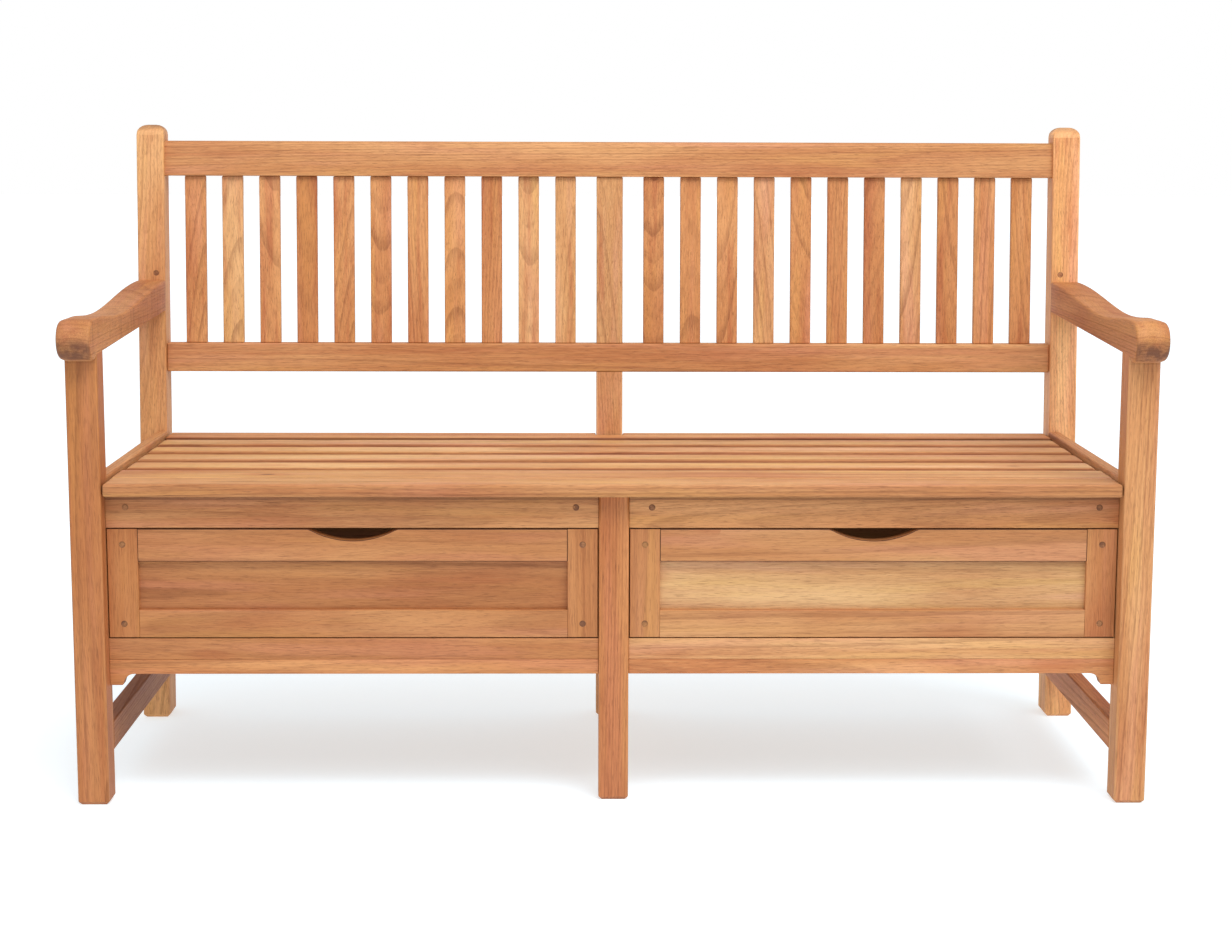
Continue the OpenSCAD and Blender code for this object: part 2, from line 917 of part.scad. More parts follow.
// Pegs through the stiles and the tenons
module drawer_pegs(slack = 0) {
    for (x = [front_x0 + stile_w / 2, front_x1 - stile_w / 2],
         z = [field_z1 + scoop_rail_h / 2 + 1, field_z0 - lower_rail_h / 2])
        peg(x, front_set, z, panel_set + tenon_t, slack);
}

// Bottom board, in the grooves of the sides and of the front
module drawer_bottom() {
    tongue = 4;
    box(front_x0 + side_inset + box_t - tongue, front_x1 - side_inset - box_t + tongue,
        front_back - tongue, box_back_y, bottom_z, bottom_z + bottom_t);
}

// The finger scoop in the top edge: an arc between two rounded lips, from right to left
scoop_r = (scoop_w * scoop_w / 4 + scoop_d * scoop_d) / (2 * scoop_d);
scoop_turn = asin(scoop_w / 2 / scoop_r);
scoop_steps = 12;
lip_r = 14;
scoop_arc = [for (i = [0:scoop_steps]) let (a = scoop_turn * (1 - 2 * i / scoop_steps))
    [(front_x0 + front_x1) / 2 + scoop_r * sin(a),
     front_z1 - scoop_d + scoop_r * (1 - cos(a))]];

module drawer_top_rail() {
    difference() {
        union() {
            along_y(front_set, front_back)
                polygon(rounded(concat([[frame_x0, front_z1], [frame_x0, field_z1],
                                        [frame_x1, field_z1], [frame_x1, front_z1]], scoop_arc),
                    [0, 0, 0, 0, lip_r, for (i = [2:scoop_steps]) 0, lip_r]));
            drawer_top_tenons();
        }
        drawer_panel();
        drawer_pegs(peg_fit);
    }
}

module drawer_bottom_rail() {
    difference() {
        union() {
            box(frame_x0, frame_x1, front_set, front_back, front_z0, field_z0);
            drawer_low_tenons();
        }
        drawer_panel();
        drawer_bottom();
        drawer_pegs(peg_fit);
    }
}

module drawer_stiles() {
    difference() {
        for (x = [front_x0, frame_x1]) box(x, x + stile_w, front_set, front_back, front_z0, front_z1);
        drawer_panel();
        drawer_bottom();
        drawer_top_tenons(mortise_gap);
        drawer_low_tenons(mortise_gap);
        drawer_pegs(peg_fit);
    }
}

module drawer_sides() {
    difference() {
        for (x = [front_x0 + side_inset, front_x1 - side_inset - box_t])
            box(x, x + box_t, front_back, box_back_y, front_z0, front_z1 - box_drop);
        drawer_bottom();
    }
}

module drawer_back() {
    box(front_x0 + side_inset + box_t, front_x1 - side_inset - box_t, box_back_y - box_t,
        box_back_y, bottom_z + bottom_t, front_z1 - box_drop);
}

module drawer_left_top_rail() {
    color(teak) placed() hand(-1) drawer_top_rail();
}

module drawer_left_bottom_rail() {
    color(teak) placed() hand(-1) drawer_bottom_rail();
}

module drawer_left_stiles() {
    color(teak) placed() hand(-1) drawer_stiles();
}

module drawer_left_panel() {
    color(teak_pale) placed() hand(-1) drawer_panel();
}

module drawer_left_sides() {
    color(teak_dark) placed() hand(-1) drawer_sides();
}

module drawer_left_back() {
    color(teak_dark) placed() hand(-1) drawer_back();
}

module drawer_left_bottom() {
    color(teak_dark) placed() hand(-1) drawer_bottom();
}

module drawer_left_pegs() {
    color(teak_peg) placed() hand(-1) drawer_pegs();
}

module drawer_right_top_rail() {
    color(teak) placed() hand(1) drawer_top_rail();
}

module drawer_right_bottom_rail() {
    color(teak) placed() hand(1) drawer_bottom_rail();
}

module drawer_right_stiles() {
    color(teak) placed() hand(1) drawer_stiles();
}

module drawer_right_panel() {
    color(teak_pale) placed() hand(1) drawer_panel();
}

module drawer_right_sides() {
    color(teak_dark) placed() hand(1) drawer_sides();
}

module drawer_right_back() {
    color(teak_dark) placed() hand(1) drawer_back();
}

module drawer_right_bottom() {
    color(teak_dark) placed() hand(1) drawer_bottom();
}

module drawer_right_pegs() {
    color(teak_peg) placed() hand(1) drawer_pegs();
}

// ---- What is drawn ----

front_leg_left();
front_leg_right();
front_leg_centre();
back_leg_left();
back_leg_right();
back_leg_centre();
back_top_rail();
back_lower_rail();
back_slats_left();
back_slats_right();
back_centre_slat();
arm_left();
arm_right();
seat_front_board();
seat_slat_1();
seat_slat_2();
seat_slat_3();
seat_slat_4();
seat_slat_5();
seat_rear_slat();
seat_side_board_left();
seat_side_board_right();
seat_bearers();
front_top_rail_left();
front_top_rail_right();
front_bottom_rail_left();
front_bottom_rail_right();
front_apron_left();
front_apron_right();
side_bottom_rail_left();
side_bottom_rail_right();
side_apron_left();
side_apron_right();
side_panel_left();
side_panel_right();
rear_top_rail();
rear_bottom_rail();
rear_panels();
side_stretcher_left();
side_stretcher_right();
centre_stretcher();
drawer_divider();
drawer_runners();
frame_pegs();
drawer_left_top_rail();
drawer_left_bottom_rail();
drawer_left_stiles();
drawer_left_panel();
drawer_left_sides();
drawer_left_back();
drawer_left_bottom();
drawer_right_top_rail();
drawer_right_bottom_rail();
drawer_right_stiles();
drawer_right_panel();
drawer_right_sides();
drawer_right_back();
drawer_right_bottom();
drawer_left_pegs();
drawer_right_pegs();
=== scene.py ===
import json
import math
import random

import bmesh
import bpy
from mathutils import Matrix, Vector


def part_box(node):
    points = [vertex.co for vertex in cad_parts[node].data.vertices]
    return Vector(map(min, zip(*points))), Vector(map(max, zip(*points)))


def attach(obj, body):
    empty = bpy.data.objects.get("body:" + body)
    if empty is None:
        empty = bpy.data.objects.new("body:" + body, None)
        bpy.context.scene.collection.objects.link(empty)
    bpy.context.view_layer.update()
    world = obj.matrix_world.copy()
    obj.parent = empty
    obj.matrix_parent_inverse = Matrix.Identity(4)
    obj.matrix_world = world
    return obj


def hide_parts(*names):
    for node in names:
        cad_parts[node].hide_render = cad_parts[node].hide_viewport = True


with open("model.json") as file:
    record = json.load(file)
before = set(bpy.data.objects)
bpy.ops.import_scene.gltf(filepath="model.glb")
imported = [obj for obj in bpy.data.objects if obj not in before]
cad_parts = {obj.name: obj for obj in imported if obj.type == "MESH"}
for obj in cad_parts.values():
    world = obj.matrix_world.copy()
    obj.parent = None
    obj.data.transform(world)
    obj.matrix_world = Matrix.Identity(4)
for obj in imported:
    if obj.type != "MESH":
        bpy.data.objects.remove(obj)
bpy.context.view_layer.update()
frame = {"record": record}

# ---- Sizes the joiner works to, in metres ----

MM = 0.001
LEAN = math.tan(math.radians(4.3))
ARM_RISE = math.tan(math.radians(2.1))
SLATS_A_SIDE = 11
EASE = 1.2 * MM
SOFT_EASE = 2.5 * MM
ARM_EASE = 4.5 * MM
FOOT_CHAMFER = 5 * MM
DOME = 16 * MM
PEG_R = 4.6 * MM

X, Y, Z = 0, 1, 2


class Span:
    """The box of a CAD node, with its six sides by name."""

    def __init__(self, node):
        lo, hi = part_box(node)
        self.x0, self.y0, self.z0 = lo
        self.x1, self.y1, self.z1 = hi


front_leg = Span("front_leg_right")
back_leg = Span("back_leg_right")
mid_leg = Span("front_leg_centre")
mid_back_leg = Span("back_leg_centre")
FRONT = front_leg.y0
LEG_BACK = front_leg.y1
LEG_IN = front_leg.x0
LEG_OUT = front_leg.x1
BACK_IN = back_leg.x0
FOOT_FACE = back_leg.y0 - FOOT_CHAMFER * LEAN


def lean_y(z):
    """Front face of the back legs at height z."""
    return FOOT_FACE + z * LEAN


# ---- Shaping boards ----

def flag_faces(bm, faces):
    layer = bm.faces.layers.int.get("eased") or bm.faces.layers.int.new("eased")
    for face in faces:
        if face.is_valid:
            face[layer] = 1


def ease_edges(bm, width, segments=3, turn=30, keep=None):
    """Rounds every edge that turns more than so many degrees, and that keep accepts."""
    bm.normal_update()
    edges = [e for e in bm.edges
             if len(e.link_faces) == 2 and e.calc_face_angle(0) > math.radians(turn)
             and (keep is None or keep(e))]
    if not edges:
        return
    cut = bmesh.ops.bevel(bm, geom=edges, offset=width, segments=segments, profile=0.5,
                          affect="EDGES", material=-1, clamp_overlap=True)
    flag_faces(bm, cut["faces"])


def along(edge, axis):
    """True where an edge runs along an axis."""
    d = (edge.verts[1].co - edge.verts[0].co).normalized()
    return abs(d[axis]) > 0.9


def block(x0, x1, y0, y1, z0, z1, lean=""):
    """A board. Where lean names its front or its rear, that y is measured behind the back
    legs' face, so that side leans with the back."""
    bm = bmesh.new()
    bmesh.ops.create_cube(bm, size=1)
    for v in bm.verts:
        z = z1 if v.co.z > 0 else z0
        rear = v.co.y > 0
        y = y1 if rear else y0
        if ("rear" if rear else "front") in lean:
            y += lean_y(z)
        v.co = (x1 if v.co.x > 0 else x0, y, z)
    bm.normal_update()
    return bm


def cut_out(points, axis, a, b):
    """A board sawn to an outline, from a to b along the third axis. The points are (y, z)
    where the axis is X, (x, z) where it is Y and (x, y) where it is Z."""
    bm = bmesh.new()

    def place(p):
        p = list(p)
        p.insert(axis, a)
        return p

    face = bm.faces.new([bm.verts.new(place(p)) for p in points])
    grown = bmesh.ops.extrude_face_region(bm, geom=[face])
    shift = Vector((0, 0, 0))
    shift[axis] = b - a
    bmesh.ops.translate(bm, vec=shift,
                        verts=[g for g in grown["geom"] if isinstance(g, bmesh.types.BMVert)])
    bmesh.ops.recalc_face_normals(bm, faces=bm.faces)
    return bm


def arc(cx, cy, r, a0, a1, steps):
    """Points on an arc, between two angles in degrees."""
    return [(cx + r * math.cos(math.radians(a0 + (a1 - a0) * i / steps)),
             cy + r * math.sin(math.radians(a0 + (a1 - a0) * i / steps)))
            for i in range(steps + 1)]


def sweep(a, b, c, d, steps):
    """Points of a cubic curve from a to d that leaves toward b and arrives from c."""
    points = []
    for i in range(1, steps + 1):
        t = i / steps
        k = 1 - t
        points.append(tuple(k ** 3 * p + 3 * k * k * t * q + 3 * k * t * t * r + t ** 3 * s
                            for p, q, r, s in zip(a, b, c, d)))
    return points


# ---- Timber finishes ----

class Grain:
    """A shader value that is worked with like a number."""

    def __init__(self, recipe, socket):
        self.recipe = recipe
        self.socket = socket

    def maths(self, operation, a, b):
        return self.recipe.value("ShaderNodeMath", {"operation": operation}, {0: a, 1: b})

    def __add__(self, other):
        return self.maths("ADD", self, other)

    __radd__ = __add__

    def __sub__(self, other):
        return self.maths("SUBTRACT", self, other)

    def __rsub__(self, other):
        return self.maths("SUBTRACT", other, self)

    def __mul__(self, other):
        return self.maths("MULTIPLY", self, other)

    __rmul__ = __mul__

    def __truediv__(self, other):
        return self.maths("DIVIDE", self, other)


class Recipe:
    """The node tree of one finish."""

    def __init__(self, name):
        self.material = bpy.data.materials.new(name)
        self.material.use_nodes = True
        self.tree = self.material.node_tree
        self.tree.nodes.clear()

    def node(self, kind, settings=None, inputs=None):
        node = self.tree.nodes.new(kind)
        for key, value in (settings or {}).items():
            setattr(node, key, value)
        for key, value in (inputs or {}).items():
            if isinstance(value, Grain):
                self.tree.links.new(value.socket, node.inputs[key])
            else:
                node.inputs[key].default_value = value
        return node

    def value(self, kind, settings=None, inputs=None, out=0):
        return Grain(self, self.node(kind, settings, inputs).outputs[out])

    def attribute(self, name, out="Fac"):
        return self.value("ShaderNodeAttribute", {"attribute_name": name}, None, out)

    def step(self, value, low, high, to_low=0.0, to_high=1.0):
        """A smooth rise from to_low to to_high as value goes from low to high."""
        return self.value("ShaderNodeMapRange", {"interpolation_type": "SMOOTHSTEP"},
                          {"Value": value, "From Min": low, "From Max": high,
                           "To Min": to_low, "To Max": to_high})

    def stretched(self, point, scale):
        return self.value("ShaderNodeVectorMath", {"operation": "MULTIPLY"},
                          {0: point, 1: scale})

    def noise(self, point, scale, detail=2.0, roughness=0.5):
        return self.value("ShaderNodeTexNoise", {"noise_dimensions": "3D"},
                          {"Vector": self.stretched(point, scale), "Scale": 1.0,
                           "Detail": detail, "Roughness": roughness}, "Fac")

    def tint(self, a, b, factor):
        """Colour a, going to colour b where factor is 1."""
        return self.value("ShaderNodeMix", {"data_type": "RGBA"},
                          {0: factor, 6: a, 7: b}, 2)

    def scaled(self, colour, factor):
        return self.value("ShaderNodeVectorMath", {"operation": "SCALE"},
                          {0: colour, "Scale": factor})

    def finish(self, colour, roughness, height, relief, specular=0.35):
        bump = self.value("ShaderNodeBump", None,
                          {"Strength": 0.6, "Distance": relief, "Height": height})
        skin = self.node("ShaderNodeBsdfPrincipled", None,
                         {"Base Color": colour, "Roughness": roughness, "Normal": bump,
                          "Specular IOR Level": specular})
        out = self.node("ShaderNodeOutputMaterial")
        self.tree.links.new(skin.outputs[0], out.inputs[0])
        return self.material


def rgb(r, g, b):
    """A colour as linear light, from the usual 0 to 255."""
    return tuple(((c / 255 + 0.055) / 1.055) ** 2.4 for c in (r, g, b)) + (1.0,)


ROSE = rgb(206, 140, 104)
HONEY = rgb(206, 150, 84)
KNOT = rgb(84, 52, 34)
END_GRAIN = rgb(116, 74, 52)
JOINT_DUST_AND_SHADE = rgb(66, 30, 14)
GRAIN_DEPTH = 0.5 * MM


def teak(name, pale, body, warm, dark, rings=0.0048, contrast=1.0, streaks=1.0, sheen=0.52):
    """Oiled teak. The board's place in its log comes from the attribute log: x runs along the
    grain, and the pith is at y = z = 0."""
    r = Recipe(name)
    log = r.attribute("log", "Vector")
    tone = r.attribute("tone")
    warmth = r.attribute("warmth")
    end = r.attribute("end")
    edge = r.attribute("edge")
    figure = r.attribute("figure")
    parts = r.node("ShaderNodeSeparateXYZ", None, {0: log})
    across = Grain(r, parts.outputs[1])
    deep = Grain(r, parts.outputs[2])

    wander = r.noise(log, (1.6, 7, 7), 1.0) - 0.5
    ripple = r.noise(log, (10, 40, 40), 2.0) - 0.5
    radius = r.value("ShaderNodeMath", {"operation": "SQRT"},
                     {0: across * across + deep * deep})
    years = (radius + wander * 0.013 + ripple * 0.0018) / rings
    year = r.value("ShaderNodeMath", {"operation": "FLOOR"}, {0: years})
    through = years - year
    luck = r.value("ShaderNodeTexWhiteNoise", {"noise_dimensions": "1D"}, {"W": year}, "Value")
    late = r.step(through, 0.35, 0.92) * r.step(through, 0.93, 1.0, 1.0, 0.0)
    ring = late * (luck * luck * 0.75 + 0.25)

    clouds = r.noise(log, (1.9, 16, 16), 2.0)
    bands = r.noise(log, (0.9, 60, 60), 2.0, 0.55)
    fibre = r.noise(log, (20, 620, 620), 3.0, 0.6)
    pores = r.step(r.noise(log, (55, 1500, 1500), 1.0), 0.6, 0.72)
    blotch = r.noise(log, (3.2, 11, 11), 2.0)
    flecks = r.step(r.noise(log, (45, 620, 620), 2.0, 0.6), 0.52, 0.7)
    drift = r.noise(log, (2.4, 34, 34), 2.0)

    colour = r.tint(body, pale, r.step(clouds, 0.38, 0.68) * 0.8)
    colour = r.tint(colour, warm, r.step(bands, 0.46, 0.72) * (0.5 * streaks))
    colour = r.tint(colour, warm, r.step(blotch, 0.48, 0.72) * 0.5)
    colour = r.tint(colour, ROSE, r.step(drift, 0.52, 0.72) * 0.55)
    colour = r.tint(colour, HONEY, r.step(drift, 0.48, 0.3) * 0.45)
    colour = r.tint(colour, dark, ring * (0.32 * contrast))
    colour = r.tint(colour, dark, r.step(fibre, 0.48, 0.76) * (0.28 * contrast))
    colour = r.tint(colour, pale, r.step(fibre, 0.5, 0.25) * (0.26 * contrast))
    colour = r.tint(colour, dark, pores * (0.38 * contrast))
    colour = r.tint(colour, dark, flecks * (0.16 * contrast))

    # Pin knots, with dark hearts and a paler swirl round them
    knots = r.node("ShaderNodeTexVoronoi", {"feature": "F1", "voronoi_dimensions": "3D"},
                   {"Vector": r.stretched(log, (5.5, 16, 16)), "Scale": 1.0})
    spot = Grain(r, knots.outputs["Distance"])
    pick = r.node("ShaderNodeSeparateColor", None, {0: Grain(r, knots.outputs["Color"])})
    chosen = r.step(Grain(r, pick.outputs[0]), 0.86, 0.87)
    heart = r.step(spot + ripple * 0.12, 0.085, 0.03) * chosen
    swirl = r.step(spot + ripple * 0.2, 0.3, 0.1) * chosen
    colour = r.tint(colour, warm, swirl * 0.45)
    colour = r.tint(colour, KNOT, heart * 0.85)

    # Ripple figure across the grain
    stripe = r.noise(log, (95, 9, 9), 2.0)
    colour = r.tint(colour, dark, r.step(stripe, 0.5, 0.72) * figure * 0.5)
    colour = r.tint(colour, pale, r.step(stripe, 0.5, 0.3) * figure * 0.35)

    # End grain drinks more oil. Eased edges are paler, partly rubbed wear and partly a painted
    # highlight, and where edge is negative they darken, with dust in the joints and painted shade in
    # recesses
    mottle = r.step(r.noise(log, (70, 70, 70), 2.0), 0.36, 0.62)
    grain_end = end * (0.4 + 0.6 * mottle)
    colour = r.tint(colour, END_GRAIN, grain_end * 0.95)
    colour = r.tint(colour, dark, end * r.step(fibre, 0.42, 0.7) * 0.35)
    rubbed_and_highlit = r.step(edge, 0.0, 1.0) * r.step(blotch + ripple * 0.5, 0.3, 0.75)
    colour = r.tint(colour, pale, rubbed_and_highlit * 0.45)
    colour = r.tint(colour, JOINT_DUST_AND_SHADE, r.step(edge, 0.0, -1.0) * 0.9)

    # Each board has its own hue, redder or yellower, and its own tone
    hue = r.value("ShaderNodeVectorMath", {"operation": "SCALE"},
                  {0: (0.07, -0.05, -0.14), "Scale": warmth})
    hue = r.value("ShaderNodeVectorMath", {"operation": "ADD"}, {0: hue, 1: (1, 1, 1)})
    colour = r.value("ShaderNodeVectorMath", {"operation": "MULTIPLY"}, {0: colour, 1: hue})
    colour = r.scaled(colour, tone)

    rough = sheen + 0.1 * fibre + 0.12 * ring - 0.06 * edge + 0.12 * end
    height = fibre * 0.35 - pores * 0.55 - ring * 0.3 + 0.2 * ripple
    return r.finish(colour, rough, height, GRAIN_DEPTH)


PALE = rgb(216, 161, 108)
BODY = rgb(192, 131, 80)
WARM = rgb(172, 98, 58)
DARK = rgb(108, 60, 34)

FINISHES = {
    "teak_frame": teak("oiled teak", PALE, BODY, WARM, DARK, 0.0046, 1.25, 0.9),
    "teak_slat": teak("oiled teak slats", PALE, BODY, WARM, DARK, 0.0046, 1.35, 1.5),
    "teak_panel": teak("oiled teak panels", PALE, BODY, WARM, DARK, 0.0085, 1.15, 0.35),
    "teak_drawer_front": teak("oiled teak drawer fronts", PALE, BODY, WARM, DARK, 0.007, 0.95, 0.5),
    "teak_drawer_box": teak("bare teak drawer boxes", PALE, BODY, WARM, DARK, 0.005, 0.9, 0.8, 0.62),
    "teak_inner": teak("bare teak inside the case", PALE, BODY, WARM, DARK, 0.005, 1.0, 0.8, 0.66),
    "teak_peg": teak("teak pegs", PALE, BODY, WARM, DARK, 0.003, 0.9, 0.8, 0.6),
}
SLOT_OF = {part["node"]: part["material_slot"] for part in frame["record"]["subparts"]}


# ---- From a shape to a finished piece ----

def body_of(node):
    for side in ("left", "right"):
        if node.startswith("drawer_%s_" % side):
            return "drawer_" + side
    return "bench"


MARKS = ("tone", "warmth", "end", "edge", "figure")


def smooth(t):
    t = min(max(t, 0.0), 1.0)
    return t * t * (3 - 2 * t)


def finished(bm, name, node, grain, tone=1.0, warmth=0.0, figure=0.0, pith=None, edge_wear=1.0,
             shade=None, redden=0.0, cut_end=None):
    """Makes a piece of a shape: gives it its own place in a log, its finish and its body.
    grain is the axis along the fibres, and pith is how far off the heart of the log is, across the
    board's width and through its thickness. shade is painted shade: it changes the tone by a face's
    place, and redden says how much redder a shaded face is. edge_wear makes eased faces paler where it
    is positive, as rubbed wear and a painted highlight, and darker where it is negative, as dust in
    joints and painted shade in recesses. cut_end is the share of end grain by a normal."""
    luck = random.Random(name)
    bm.normal_update()
    mesh = bpy.data.meshes.new(name)
    layer = bm.faces.layers.int.get("eased")
    eased = [bool(layer and f[layer]) for f in bm.faces]
    bm.to_mesh(mesh)
    bm.free()
    corners = [v.co for v in mesh.vertices]
    lo = Vector([min(c[i] for c in corners) for i in range(3)])
    hi = Vector([max(c[i] for c in corners) for i in range(3)])
    wide, thick = sorted((i for i in range(3) if i != grain), key=lambda i: lo[i] - hi[i])
    centre = (lo + hi) / 2
    if pith is None:
        pith = (luck.uniform(-0.05, 0.05), luck.choice([-1, 1]) * luck.uniform(0.03, 0.11))
    start = luck.uniform(0, 60)
    slope = luck.uniform(-0.018, 0.018), luck.uniform(-0.03, 0.03)

    def place_in_log(co):
        run = co[grain] - centre[grain]
        return (run + start, co[wide] - centre[wide] + pith[0] + run * slope[0],
                co[thick] - centre[thick] + pith[1] + run * slope[1])

    mesh.attributes.new("log", "FLOAT_VECTOR", "POINT")
    for key in MARKS:
        mesh.attributes.new(key, "FLOAT", "CORNER")
    for v, item in zip(mesh.vertices, mesh.attributes["log"].data):
        item.vector = place_in_log(v.co)
    normals = [v.normal.copy() for v in mesh.vertices]
    data = {key: mesh.attributes[key].data for key in MARKS}
    for face, worn in zip(mesh.polygons, eased):
        face.use_smooth = worn
        share = shade(face) if shade else 1.0
        for corner in face.loop_indices:
            normal = normals[mesh.loops[corner].vertex_index] if worn else face.normal
            data["tone"][corner].value = tone * share
            data["warmth"][corner].value = warmth + (1 - share) * redden
            data["figure"][corner].value = figure
            data["end"][corner].value = (cut_end(normal) if cut_end
                                         else smooth((abs(normal[grain]) - 0.6) / 0.35))
            data["edge"][corner].value = edge_wear if worn else 0.0
    mesh.materials.append(FINISHES[SLOT_OF[node]])
    piece = bpy.data.objects.new(name, mesh)
    bpy.context.scene.collection.objects.link(piece)
    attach(piece, body_of(node))
    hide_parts(node)
    return piece


def shade_of(name, low=0.93, high=1.07):
    return random.Random("shade " + name).uniform(low, high)


def board(name, node, grain, x0, x1, y0, y1, z0, z1, ease=EASE, lean="", **finish):
    """A plain board with eased edges."""
    bm = block(x0, x1, y0, y1, z0, z1, lean)
    ease_edges(bm, ease)
    finish.setdefault("tone", shade_of(name))
    return finished(bm, name, node, grain, **finish)


SIDES = (("left", -1), ("right", 1))


def mirrored(s, a, b):
    """The two ends of a width on side s, lowest first."""
    return (a, b) if s > 0 else (-b, -a)


# ---- Legs ----

LEG_TENON = 22 * MM
LEG_TOP = front_leg.z1 - LEG_TENON
BACK_FOOT_DEPTH = 56 * MM
BACK_TOP_DEPTH = 43 * MM
MID_LEG_DEPTH = 42 * MM

# How far below the arm's nose a leg takes painted shadow, and the tone it takes there
ARM_SHADE = ((5 * MM, 0.7), (12 * MM, 0.84), (22 * MM, 0.94))


def chamfer_foot(bm):
    """The lower edges of a foot are cut off, so that they don't splinter."""
    ease_edges(bm, FOOT_CHAMFER, 1, keep=lambda e: max(v.co.z for v in e.verts) < MM)


def painted_arm_shadow(face):
    """Painted shadow: the front of a leg is darker right below the arm's nose."""
    drop = LEG_TOP - face.center.z
    for depth, share in ARM_SHADE:
        if drop < depth and face.normal.y < -0.5:
            return share
    return 1.0


LEG_TONE = {"left": (0.73, 2.0), "right": (1.1, 0.1)}
BACK_LEG_TONE = {"left": (1.2, -0.3), "right": (1.5, -0.7)}
for side, s in SIDES:
    x0, x1 = mirrored(s, LEG_IN, LEG_OUT)
    node = "front_leg_" + side
    bm = block(x0, x1, FRONT, LEG_BACK, 0, 1)
    for drop, _ in ARM_SHADE:
        bmesh.ops.bisect_plane(bm, geom=bm.verts[:] + bm.edges[:] + bm.faces[:],
                               plane_co=(0, 0, LEG_TOP - drop),
                               plane_no=(0, 0, 1))
    for v in bm.verts:
        if v.co.z > LEG_TOP:
            v.co.z = LEG_TOP + (v.co.y - FRONT) * ARM_RISE
    chamfer_foot(bm)
    ease_edges(bm, SOFT_EASE, keep=lambda e: along(e, Z))
    tone, warmth = LEG_TONE[side]
    # The leg's front takes painted shadow right below the arm's nose
    finished(bm, node, node, Z, tone, warmth, shade=painted_arm_shadow)

    x0, x1 = mirrored(s, BACK_IN, LEG_OUT)
    node = "back_leg_" + side
    top = back_leg.z1
    bm = cut_out([(FOOT_FACE, 0), (FOOT_FACE + BACK_FOOT_DEPTH, 0), (lean_y(top) + BACK_TOP_DEPTH, top),
                  (lean_y(top), top)], X, x0, x1)
    chamfer_foot(bm)
    ease_edges(bm, DOME, 6, keep=lambda e: min(v.co.z for v in e.verts) > top - MM)
    ease_edges(bm, SOFT_EASE, turn=50, keep=lambda e: along(e, Z))
    tone, warmth = BACK_LEG_TONE[side]
    finished(bm, node, node, Z, tone, warmth)

bm = block(mid_leg.x0, mid_leg.x1, mid_leg.y0, mid_leg.y1, 0, mid_leg.z1)
chamfer_foot(bm)
ease_edges(bm, SOFT_EASE, keep=lambda e: along(e, Z))
finished(bm, "front_leg_centre", "front_leg_centre", Z, 0.78, 2.0, pith=(0.03, 0.07))

lower_rail = Span("back_lower_rail")
top_rail = Span("back_top_rail")
RAIL_SET = 8 * MM
RAIL_THICK = 28 * MM
TOP_RAIL_ROUND = 8 * MM
bm = block(mid_back_leg.x0, mid_back_leg.x1, RAIL_SET, RAIL_SET + MID_LEG_DEPTH, 0, lower_rail.z0,
           "front rear")
chamfer_foot(bm)
ease_edges(bm, SOFT_EASE, keep=lambda e: along(e, Z))
finished(bm, "back_leg_centre", "back_leg_centre", Z, 1.2, -0.5)

# ---- Back ----

bm = block(-BACK_IN, BACK_IN, RAIL_SET, RAIL_SET + RAIL_THICK, top_rail.z0, top_rail.z1,
           "front rear")
ease_edges(bm, TOP_RAIL_ROUND, 5,
           keep=lambda e: along(e, X) and min(v.co.z for v in e.verts) > top_rail.z1 - MM)
ease_edges(bm, EASE, turn=50, keep=lambda e: along(e, X))
finished(bm, "back_top_rail", "back_top_rail", X, 1.02, 0.1, pith=(0.06, 0.03))
board("back_lower_rail", "back_lower_rail", X, -BACK_IN, BACK_IN, RAIL_SET,
      RAIL_SET + RAIL_THICK, lower_rail.z0, lower_rail.z1, SOFT_EASE, "front rear", tone=1.04,
      warmth=0.1)

slats = Span("back_slats_right")
SLAT_W = 33 * MM
SLAT_THICK = 12 * MM
CENTRE_PROUD = 3 * MM
BACK_SLAT_EASE = 2 * MM
slat_pitch = (slats.x1 - slats.x0 - SLAT_W) / (SLATS_A_SIDE - 1)
SLAT_FACE = RAIL_SET + (RAIL_THICK - SLAT_THICK) / 2
RED, TAN, STRAW = (0.92, 1.1), (1.1, 0.3), (1.34, -1.1)
BACK_SLATS = {"left": (STRAW, STRAW, RED, TAN, TAN, TAN, TAN, RED, TAN, STRAW, TAN),
              "right": (RED, TAN, TAN, STRAW, TAN, TAN, RED, STRAW, RED, TAN, RED)}
for side, s in SIDES:
    for i in range(SLATS_A_SIDE):
        name = "back_slat_%s_%d" % (side, i + 1)
        x = slats.x0 + i * slat_pitch
        x0, x1 = mirrored(s, x, x + SLAT_W)
        tone, warmth = BACK_SLATS[side][i]
        board(name, "back_slats_" + side, Z, x0, x1, SLAT_FACE, SLAT_FACE + SLAT_THICK,
              lower_rail.z1, top_rail.z0, BACK_SLAT_EASE, "front rear", tone=tone, warmth=warmth)
centre = Span("back_centre_slat")
board("back_centre_slat", "back_centre_slat", Z, centre.x0, centre.x1,
      SLAT_FACE - CENTRE_PROUD, SLAT_FACE + SLAT_THICK, lower_rail.z1, top_rail.z0, BACK_SLAT_EASE,
      "front rear", tone=1.22, warmth=-1.0,
      pith=(0.04, 0.09))

# ---- Arms ----

arm = Span("arm_right")
NOSE_R = 29 * MM
nose_y = arm.y0 + NOSE_R
nose_z = arm.z0 + NOSE_R
ARM_DEPTH_AT_BACK = 66 * MM
ARM_DIP_Z = 41.5 * MM
ARM_UNDER_Z = 17 * MM
LEG_SPREAD = 484 * MM
DIP_SHARE = 0.38
# Handle lengths of the top's two curves: off the crest, on each side of the dip, and at the back
FROM_CREST, TO_DIP, FROM_DIP, TO_BACK = 85 * MM, 75 * MM, 105 * MM, 135 * MM
arm_end_z = LEG_TOP + ARM_DEPTH_AT_BACK
under_y = lean_y(LEG_TOP + ARM_UNDER_Z)
# How the nose is crowned: how much, how sharply, and over which share of the width it stays flat
CROWN = 0.15
CROWN_POWER = 2.5
CROWN_FLAT = 0.25
CROWN_INNER = 0.55
CROWN_FROM, CROWN_FADE = 20 * MM, 75 * MM


